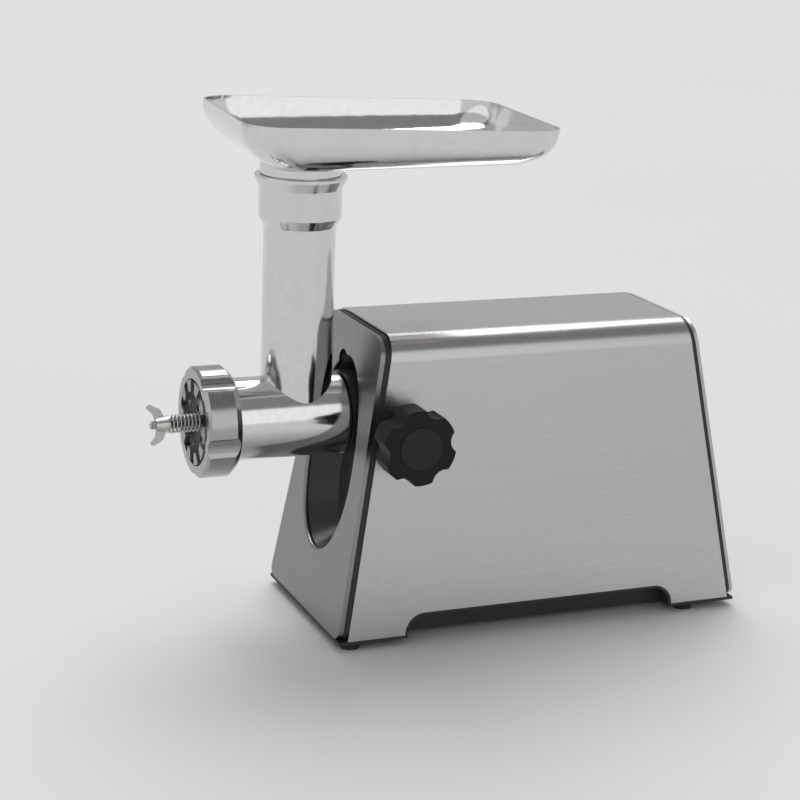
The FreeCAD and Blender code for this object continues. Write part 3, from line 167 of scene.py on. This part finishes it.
def grained_material(name, light, dark, smooth, rough, scale, stretch=(1.0, 1.0, 1.0),
                     metallic=0.0, bump=0.05, shine=0.5):
    # A finish between two shades and two roughnesses, with its grain drawn out along the axes by a stretch.
    material = bpy.data.materials.new(name)
    material.use_nodes = True
    tree = material.node_tree
    shader = tree.nodes["Principled BSDF"]
    grain = add_node(tree, "ShaderNodeGroup", node_tree=grain_group)
    set_inputs(grain, Stretch=stretch, Scale=scale, Light=(*light, 1.0), Dark=(*dark, 1.0),
               Smooth=smooth, Rough=rough)
    relief = add_node(tree, "ShaderNodeBump")
    set_inputs(relief, Strength=bump, Distance=grain_relief)
    tree.links.new(grain.outputs["Color"], shader.inputs["Base Color"])
    tree.links.new(grain.outputs["Roughness"], shader.inputs["Roughness"])
    tree.links.new(grain.outputs["Height"], relief.inputs["Height"])
    tree.links.new(relief.outputs["Normal"], shader.inputs["Normal"])
    set_inputs(shader, Metallic=metallic, Specular_IOR_Level=shine)
    return material


# How much blue a plain grey has beside its red and green
grey_blue = 0.99


def grey(level):
    return (level, level, level * grey_blue)


# Finishes, one function for each of the record's material slots, the stud's thread and the switch's marks

def wrap_steel():
    return grained_material("wrap_steel", light=(0.545, 0.53, 0.53), dark=(0.51, 0.495, 0.495),
                            smooth=0.24, rough=0.29, scale=1500.0, stretch=(0.008, 1.0, 1.0),
                            metallic=1.0, bump=0.012)


def panel_silver():
    return grained_material("panel_silver", light=(0.29, 0.283, 0.27), dark=(0.26, 0.253, 0.241),
                            smooth=0.26, rough=0.32, scale=1500.0, stretch=(1.0, 1.0, 0.01),
                            metallic=1.0, bump=0.012)


def rear_silver():
    return grained_material("rear_silver", light=grey(0.50), dark=grey(0.44), smooth=0.36, rough=0.44,
                            scale=500.0, stretch=(1.0, 1.0, 0.05), metallic=0.9)


def seam_rubber():
    return grained_material("seam_rubber", light=grey(0.02), dark=grey(0.012), smooth=0.5, rough=0.6,
                            scale=600.0)


def liner_plastic():
    return grained_material("liner_plastic", light=grey(0.022), dark=grey(0.016), smooth=0.26,
                            rough=0.34, scale=700.0)


def base_plastic():
    return grained_material("base_plastic", light=grey(0.022), dark=grey(0.014), smooth=0.5, rough=0.6,
                            scale=700.0)


def foot_rubber():
    return grained_material("foot_rubber", light=grey(0.02), dark=grey(0.013), smooth=0.6, rough=0.75,
                            scale=700.0)


def head_casting():
    return grained_material("head_casting", light=grey(0.73), dark=grey(0.68), smooth=0.10, rough=0.14,
                            scale=220.0, metallic=1.0, bump=0.01)


def ring_casting():
    return grained_material("ring_casting", light=grey(0.41), dark=grey(0.38), smooth=0.18, rough=0.23,
                            scale=300.0, metallic=1.0, bump=0.0)


def burr_iron():
    return grained_material("burr_iron", light=grey(0.42), dark=grey(0.28), smooth=0.3, rough=0.4,
                            scale=500.0, metallic=1.0)


def auger_casting():
    return grained_material("auger_casting", light=grey(0.6), dark=grey(0.5), smooth=0.3, rough=0.4,
                            scale=300.0, metallic=1.0)


def stud_steel():
    return grained_material("stud_steel", light=grey(0.55), dark=grey(0.42), smooth=0.22, rough=0.32,
                            scale=900.0, stretch=(8.0, 1.0, 1.0), metallic=1.0)


def spring_steel():
    return grained_material("spring_steel", light=grey(0.5), dark=grey(0.38), smooth=0.2, rough=0.32,
                            scale=900.0, metallic=1.0)


def washer_steel():
    return grained_material("washer_steel", light=grey(0.5), dark=grey(0.4), smooth=0.25, rough=0.35,
                            scale=800.0, metallic=1.0)


def seat_steel():
    return grained_material("seat_steel", light=grey(0.16), dark=grey(0.1), smooth=0.35, rough=0.45,
                            scale=800.0, metallic=1.0)


def wing_steel():
    return grained_material("wing_steel", light=(0.62, 0.61, 0.58), dark=(0.5, 0.49, 0.46), smooth=0.22,
                            rough=0.32, scale=500.0, metallic=1.0)


def tray_metal():
    return grained_material("tray_metal", light=grey(0.75), dark=grey(0.70), smooth=0.08, rough=0.12,
                            scale=160.0, metallic=1.0, bump=0.01)


def knob_plastic():
    return grained_material("knob_plastic", light=grey(0.010), dark=grey(0.006), smooth=0.44, rough=0.54,
                            scale=900.0, shine=0.2)


def cap_plastic():
    return grained_material("cap_plastic", light=grey(0.012), dark=grey(0.008), smooth=0.4, rough=0.5,
                            scale=900.0, shine=0.3)


def screw_steel():
    return grained_material("screw_steel", light=grey(0.55), dark=grey(0.45), smooth=0.3, rough=0.4,
                            scale=900.0, metallic=1.0)


def switch_plastic():
    return grained_material("switch_plastic", light=grey(0.02), dark=grey(0.014), smooth=0.25,
                            rough=0.35, scale=900.0)


def rocker_plastic():
    return grained_material("rocker_plastic", light=grey(0.025), dark=grey(0.017), smooth=0.2, rough=0.3,
                            scale=900.0)


def gland_rubber():
    return grained_material("gland_rubber", light=grey(0.02), dark=grey(0.013), smooth=0.55, rough=0.65,
                            scale=700.0)


def bush_brass():
    return grained_material("bush_brass", light=(0.62, 0.45, 0.2), dark=(0.5, 0.35, 0.15), smooth=0.3,
                            rough=0.4, scale=700.0, metallic=1.0)


def nylon():
    return grained_material("nylon", light=(0.78, 0.77, 0.72), dark=(0.7, 0.69, 0.64), smooth=0.4,
                            rough=0.5, scale=500.0)


def gear_steel():
    return grained_material("gear_steel", light=grey(0.48), dark=grey(0.38), smooth=0.28, rough=0.4,
                            scale=700.0, metallic=1.0)


def chassis_steel():
    return grained_material("chassis_steel", light=(0.55, 0.56, 0.57), dark=(0.46, 0.47, 0.48),
                            smooth=0.35, rough=0.5, scale=120.0, metallic=1.0)


def gearbox_casting():
    return grained_material("gearbox_casting", light=grey(0.5), dark=grey(0.42), smooth=0.4, rough=0.5,
                            scale=600.0, metallic=1.0)


def motor_paint():
    return grained_material("motor_paint", light=grey(0.06), dark=grey(0.045), smooth=0.35, rough=0.45,
                            scale=400.0, metallic=0.6)


def magnet_ferrite():
    return grained_material("magnet_ferrite", light=grey(0.06), dark=grey(0.04), smooth=0.6, rough=0.7,
                            scale=600.0)


def rotor_steel():
    return grained_material("rotor_steel", light=grey(0.4), dark=grey(0.3), smooth=0.35, rough=0.45,
                            scale=1200.0, stretch=(6.0, 0.2, 0.2), metallic=1.0)


def copper():
    return grained_material("copper", light=(0.7, 0.36, 0.22), dark=(0.56, 0.28, 0.16), smooth=0.25,
                            rough=0.35, scale=600.0, metallic=1.0)


def carbon():
    return grained_material("carbon", light=grey(0.04), dark=grey(0.025), smooth=0.5, rough=0.6,
                            scale=800.0)


def bearing_steel():
    return grained_material("bearing_steel", light=grey(0.62), dark=grey(0.54), smooth=0.15, rough=0.22,
                            scale=800.0, metallic=1.0)


def fan_plastic():
    return grained_material("fan_plastic", light=grey(0.05), dark=grey(0.035), smooth=0.4, rough=0.5,
                            scale=700.0)


def wave_scale_for(pitch):
    # A wave texture of scale 1 repeats each 2 pi / 20 of a unit.
    return 2 * pi / 20 / pitch


def thread_steel():
    # Steel with fine rings along the drive axis, as bump only, that stand for the stud's thread.
    material = grained_material("thread_steel", light=grey(0.5), dark=grey(0.4), smooth=0.24, rough=0.34,
                                scale=900.0, metallic=1.0, bump=0.9)
    tree = material.node_tree
    ridges = add_node(tree, "ShaderNodeTexWave", bands_direction="X", wave_profile="TRI")
    set_inputs(ridges, Scale=wave_scale_for(thread_pitch))
    tree.links.new(add_node(tree, "ShaderNodeTexCoord").outputs["Object"], ridges.inputs["Vector"])
    relief = tree.nodes["Bump"]
    relief.inputs["Distance"].default_value = thread_pitch / 2
    tree.links.new(ridges.outputs["Fac"], relief.inputs["Height"])
    return material


def mark_print():
    return grained_material("mark_print", light=grey(0.75), dark=grey(0.68), smooth=0.5, rough=0.6,
                            scale=900.0)


finish_makers = [wrap_steel, panel_silver, rear_silver, seam_rubber, liner_plastic, base_plastic,
                 foot_rubber, head_casting, ring_casting, burr_iron, auger_casting, stud_steel,
                 spring_steel, washer_steel, seat_steel, wing_steel, tray_metal, knob_plastic,
                 cap_plastic, screw_steel, switch_plastic, rocker_plastic, gland_rubber,
                 bush_brass, nylon, gear_steel, chassis_steel, gearbox_casting, motor_paint,
                 magnet_ferrite, rotor_steel, copper, carbon, bearing_steel, fan_plastic,
                 thread_steel, mark_print]
finishes = {maker.__name__: maker() for maker in finish_makers}


def dress_nodes():
    # Every solid carried over takes the finish of its slot.
    for entry in frame["record"]["subparts"]:
        node = frame["nodes"][entry["node"]]
        for slot in node.material_slots:
            slot.material = finishes[entry["material_slot"]]


def thread_stud():
    # The burr's stud is the one solid with a finish other than its slot's.
    for slot in frame["nodes"]["burr_stud"].material_slots:
        slot.material = finishes["thread_steel"]


dress_nodes()
thread_stud()


# Pieces modelled here: cross-recess screws, the burr's spring and the switch's marks. Sizes are in metres

rear_lean = radians(10.7)
rear_out = Vector((cos(rear_lean), 0.0, sin(rear_lean)))
rear_up = Vector((-sin(rear_lean), 0.0, cos(rear_lean)))
rear_across = Vector((0.0, 1.0, 0.0))
bezel_above_pivot = 0.005
mark_offset = 0.011
side_mark_offset = 0.015
mark_size = 0.0048
mark_thickness = 0.0002
screw_head_radius = 0.004
screw_shank_radius = 0.0019
rear_head_height = 0.002
rear_shank_length = 0.006
foot_head_height = 0.0013
foot_shank_length = 0.004
rim_depth = 0.0001
screw_edge_round = 0.0009
screw_edge_steps = 4
screw_head_sides = 40
cross_half_width = 0.00055
cross_reach = 0.0022
cross_depth = 0.0009
facing_cosine = 0.9
spring_wire = 0.0015
spring_turns = 8
spring_end_gap = 0.0001
spring_wire_sides = 14
spring_turn_steps = 32
smooth_angle = radians(35.0)


def pick_faces(piece, test):
    # Selects, in edit mode, the faces that pass a test.
    bpy.ops.object.mode_set(mode="EDIT")
    bpy.ops.mesh.select_mode(type="FACE")
    bpy.ops.mesh.select_all(action="DESELECT")
    bpy.ops.object.mode_set(mode="OBJECT")
    for face in piece.data.polygons:
        face.select = test(face)
    bpy.ops.object.mode_set(mode="EDIT")


def faces_up(face):
    return face.normal.z > facing_cosine


def faces_down(face):
    return face.normal.z < -facing_cosine


def in_cross(face):
    arms = sorted((abs(face.center.x), abs(face.center.y)))
    return faces_up(face) and arms[0] < cross_half_width and arms[1] < cross_reach


def place_piece(piece, spot):
    # Puts a piece made at the origin in its place, with the place in its mesh.
    piece.matrix_world = spot
    bpy.ops.object.transform_apply(location=True, rotation=True, scale=True)


def make_screw(head_height, shank_length):
    # A rounded head with a cross recess, standing on the origin along Z, and its shank below.
    bpy.ops.object.select_all(action="DESELECT")
    bpy.ops.mesh.primitive_cylinder_add(vertices=screw_head_sides, radius=screw_head_radius,
                                        depth=head_height, location=(0.0, 0.0, head_height / 2))
    screw = bpy.context.object
    bpy.ops.object.transform_apply(location=True, rotation=True, scale=True)
    pick_faces(screw, faces_down)
    bpy.ops.mesh.inset(thickness=screw_head_radius - screw_shank_radius)
    bpy.ops.mesh.extrude_region_move(TRANSFORM_OT_translate={"value": (0.0, 0.0, -shank_length)})
    pick_faces(screw, faces_up)
    bpy.ops.mesh.bevel(offset=screw_edge_round, segments=screw_edge_steps, affect="EDGES")
    for cut in (-cross_reach, -cross_half_width, cross_half_width, cross_reach):
        for across in ((1.0, 0.0, 0.0), (0.0, 1.0, 0.0)):
            bpy.ops.mesh.select_all(action="SELECT")
            bpy.ops.mesh.bisect(plane_co=(cut * across[0], cut * across[1], 0.0), plane_no=across)
    pick_faces(screw, in_cross)
    bpy.ops.mesh.extrude_region_move(TRANSFORM_OT_translate={"value": (0.0, 0.0, -cross_depth)})
    bpy.ops.object.mode_set(mode="OBJECT")
    bpy.ops.object.shade_smooth_by_angle(angle=smooth_angle)
    return screw


def head_places(node, out):
    # The centre of each screw head's outer face, one screw to each corner of the node's box.
    low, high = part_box(node)
    middle = (Vector(low) + Vector(high)) / 2
    sides = sorted(range(3), key=lambda axis: -abs(out[axis]))[1:]
    corners = {}
    for vertex in frame["nodes"][node].data.vertices:
        apart = vertex.co - middle
        corners.setdefault(tuple(apart[axis] > 0 for axis in sides), []).append(vertex.co)
    places = []
    for points in corners.values():
        top = max(point.dot(out) for point in points)
        rim = [point for point in points if point.dot(out) > top - rim_depth]
        ends = [(min(point[axis] for point in rim), max(point[axis] for point in rim)) for axis in range(3)]
        places.append(Vector([sum(end) / 2 for end in ends]))
    return places


def make_screw_set(name, node, out, head_height, shank_length):
    # Screws with recessed heads in the place of a node's plain ones, in one piece.
    screws = []
    turn = out.to_track_quat("Z", "Y").to_matrix().to_4x4()
    for place in head_places(node, out):
        screw = make_screw(head_height, shank_length)
        place_piece(screw, Matrix.Translation(place - out * head_height) @ turn)
        screws.append(screw)
    for screw in screws:
        screw.select_set(True)
    bpy.ops.object.join()
    screw_set = bpy.context.object
    screw_set.name = name
    screw_set.data.materials.append(finishes["screw_steel"])
    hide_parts(node)
    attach(screw_set, "housing")


def make_spring():
    # A coil from its seat on the burr to the washer.
    low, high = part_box("burr_spring")
    coil_radius = (high[1] - low[1] - spring_wire) / 2
    coil_length = high[0] - low[0] - spring_wire - 2 * spring_end_gap
    bpy.ops.object.select_all(action="DESELECT")
    bpy.ops.mesh.primitive_circle_add(vertices=spring_wire_sides, radius=spring_wire / 2,
                                      location=(0.0, coil_radius, 0.0))
    spring = bpy.context.object
    spring.name = "spring_coil"
    bpy.ops.object.transform_apply(location=True, rotation=True, scale=True)
    coil = spring.modifiers.new("coil", "SCREW")
    coil.axis = "X"
    coil.iterations = spring_turns
    coil.screw_offset = -coil_length / spring_turns
    coil.steps = spring_turn_steps
    coil.render_steps = spring_turn_steps
    bpy.ops.object.modifier_apply(modifier="coil")
    bpy.ops.object.mode_set(mode="EDIT")
    bpy.ops.mesh.select_all(action="SELECT")
    bpy.ops.mesh.fill_holes(sides=0)
    bpy.ops.mesh.normals_make_consistent(inside=False)
    bpy.ops.object.mode_set(mode="OBJECT")
    bpy.ops.object.shade_smooth_by_angle(angle=smooth_angle)
    first_turn = high[0] - spring_end_gap - spring_wire / 2
    place_piece(spring, Matrix.Translation((first_turn, drive_center.y, drive_center.z)))
    spring.data.materials.append(finishes["spring_steel"])
    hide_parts("burr_spring")
    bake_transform(spring)


def make_mark(name, sign, across, up):
    # One printed sign on the switch's bezel, measured from the rocker's pivot.
    bpy.ops.object.select_all(action="DESELECT")
    bpy.ops.object.text_add()
    mark = bpy.context.object
    mark.name = name
    mark.data.body = sign
    mark.data.size = mark_size
    mark.data.align_x = "CENTER"
    mark.data.align_y = "CENTER"
    mark.data.extrude = mark_thickness / 2
    bpy.ops.object.convert(target="MESH")
    pivot = Vector(joints["power_rock"]["pos_m"])
    center = pivot + rear_out * bezel_above_pivot + rear_across * across + rear_up * up
    axes = Matrix((rear_across, rear_up, rear_out)).transposed().to_4x4()
    place_piece(mark, Matrix.Translation(center) @ axes)
    mark.data.materials.append(finishes["mark_print"])
    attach(mark, "housing")


def make_small_pieces():
    make_screw_set("rear_screw_set", "rear_screws", rear_out, rear_head_height, rear_shank_length)
    below = Vector((0.0, 0.0, -1.0))
    make_screw_set("foot_screw_set", "foot_screws", below, foot_head_height, foot_shank_length)
    make_spring()
    make_mark("mark_forward", "I", 0.0, mark_offset)
    make_mark("mark_off", "0", side_mark_offset, 0.0)
    make_mark("mark_reverse", "R", 0.0, -mark_offset)


make_small_pieces()


# Stage: floor, light and camera

# The camera's angles, distance, aim and focal length, as solved from the photograph
camera_yaw = radians(-22.74)
camera_pitch = radians(15.45)
camera_roll = radians(2.15)
camera_distance = 1.5758
camera_aim = drive_center + Vector((0.08584, 0.0, 0.00548))
frame_pixels = 800.0
focal_pixels = 2031.16
sensor_width = 36.0
view_reach = 100.0

floor_size = 40.0

# The room's light by direction. Limits are the two cosines between which one tone passes into the next
room_strength = 0.75
wall_color = (0.92, 0.92, 0.93)
far_wall_color = (0.7, 0.7, 0.71)
far_wall_limits = (0.2, 0.6)
softbox_color = (1.45, 1.45, 1.45)
softbox_heading = radians(13.0)
softbox_limits = (0.91, 0.985)
ceiling_color = (0.34, 0.34, 0.35)
ceiling_limits = (0.54, 0.62)
zenith_limits = (-1.0, -0.98)


def direction_share(tree, direction, aim, low, high):
    # How near a direction lies to an aim, as 0 to 1 between two cosines.
    near = add_node(tree, "ShaderNodeVectorMath", operation="DOT_PRODUCT")
    near.inputs[1].default_value = aim
    tree.links.new(direction, near.inputs[0])
    reach = add_node(tree, "ShaderNodeMapRange", interpolation_type="SMOOTHSTEP")
    set_inputs(reach, From_Min=low, From_Max=high)
    tree.links.new(near.outputs["Value"], reach.inputs["Value"])
    return reach.outputs["Result"]


def plain_color(tree, color):
    shade = add_node(tree, "ShaderNodeRGB")
    shade.outputs["Color"].default_value = (*color, 1.0)
    return shade.outputs["Color"]


def product(tree, first, second):
    times = add_node(tree, "ShaderNodeMath", operation="MULTIPLY")
    tree.links.new(first, times.inputs[0])
    tree.links.new(second, times.inputs[1])
    return times.outputs["Value"]


def flat_heading(tree, direction):
    # A direction laid flat and brought to unit length.
    flat = add_node(tree, "ShaderNodeVectorMath", operation="MULTIPLY")
    flat.inputs[1].default_value = (1.0, 1.0, 0.0)
    level = add_node(tree, "ShaderNodeVectorMath", operation="NORMALIZE")
    tree.links.new(direction, flat.inputs[0])
    tree.links.new(flat.outputs["Vector"], level.inputs[0])
    return level.outputs["Vector"]


def floor_paper():
    # Plain pale paper.
    return grained_material("floor_paper", light=(0.682, 0.682, 0.684), dark=(0.672, 0.672, 0.674),
                            smooth=0.6, rough=0.65, scale=2.0, bump=0.0)


def make_floor():
    bpy.ops.object.select_all(action="DESELECT")
    bpy.ops.mesh.primitive_plane_add(size=floor_size)
    floor = bpy.context.object
    floor.name = "floor"
    floor.data.materials.append(floor_paper())


def make_sun(name, height, heading, spread_angle, strength):
    # A broad light from a height and a heading in degrees. The heading turns anticlockwise from the front.
    data = bpy.data.lights.new(name, "SUN")
    data.energy = strength
    data.angle = radians(spread_angle)
    lamp = bpy.data.objects.new(name, data)
    lamp.rotation_euler = (radians(90.0 - height), 0.0, radians(heading))
    bpy.context.scene.collection.objects.link(lamp)


def make_lamps():
    make_sun("key", height=62.0, heading=165.0, spread_angle=50.0, strength=2.0)
    make_sun("fill", height=50.0, heading=-80.0, spread_angle=80.0, strength=0.4)


def make_world():
    # A pale room with a bright panel of light, a duller far wall and a dim ceiling that is pale overhead.
    world = bpy.data.worlds.new("studio")
    bpy.context.scene.world = world
    world.use_nodes = True
    tree = world.node_tree
    shade = tree.nodes["Background"]
    shade.inputs["Strength"].default_value = room_strength
    direction = add_node(tree, "ShaderNodeTexCoord").outputs["Generated"]
    above = direction_share(tree, direction, (0.0, 0.0, 1.0), *ceiling_limits)
    below_zenith = direction_share(tree, direction, (0.0, 0.0, -1.0), *zenith_limits)
    ceiling = product(tree, above, below_zenith)
    heading = flat_heading(tree, direction)
    softbox_aim = (sin(softbox_heading), -cos(softbox_heading), 0.0)
    softbox = direction_share(tree, heading, softbox_aim, *softbox_limits)
    far_side = direction_share(tree, heading, (0.0, 1.0, 0.0), *far_wall_limits)
    room = blend_colors(tree, far_side, plain_color(tree, wall_color), plain_color(tree, far_wall_color))
    room = blend_colors(tree, softbox, room, plain_color(tree, softbox_color))
    room = blend_colors(tree, ceiling, room, plain_color(tree, ceiling_color))
    tree.links.new(room, shade.inputs["Color"])


def make_camera():
    data = bpy.data.cameras.new("camera")
    data.sensor_width = sensor_width
    data.lens = sensor_width * focal_pixels / frame_pixels
    data.clip_end = view_reach
    camera = bpy.data.objects.new("camera", data)
    level = cos(camera_pitch)
    back = Vector((sin(camera_yaw) * level, -cos(camera_yaw) * level, sin(camera_pitch)))
    right = Vector((0.0, 0.0, 1.0)).cross(back).normalized()
    up = back.cross(right)
    rolled_right = right * cos(camera_roll) + up * sin(camera_roll)
    rolled_up = up * cos(camera_roll) - right * sin(camera_roll)
    axes = Matrix((rolled_right, rolled_up, back)).transposed().to_4x4()
    camera.matrix_world = Matrix.Translation(camera_aim + back * camera_distance) @ axes
    bpy.context.scene.collection.objects.link(camera)
    bpy.context.scene.camera = camera


make_floor()
make_lamps()
make_world()
make_camera()
bpy.context.scene.view_settings.view_transform = "Standard"
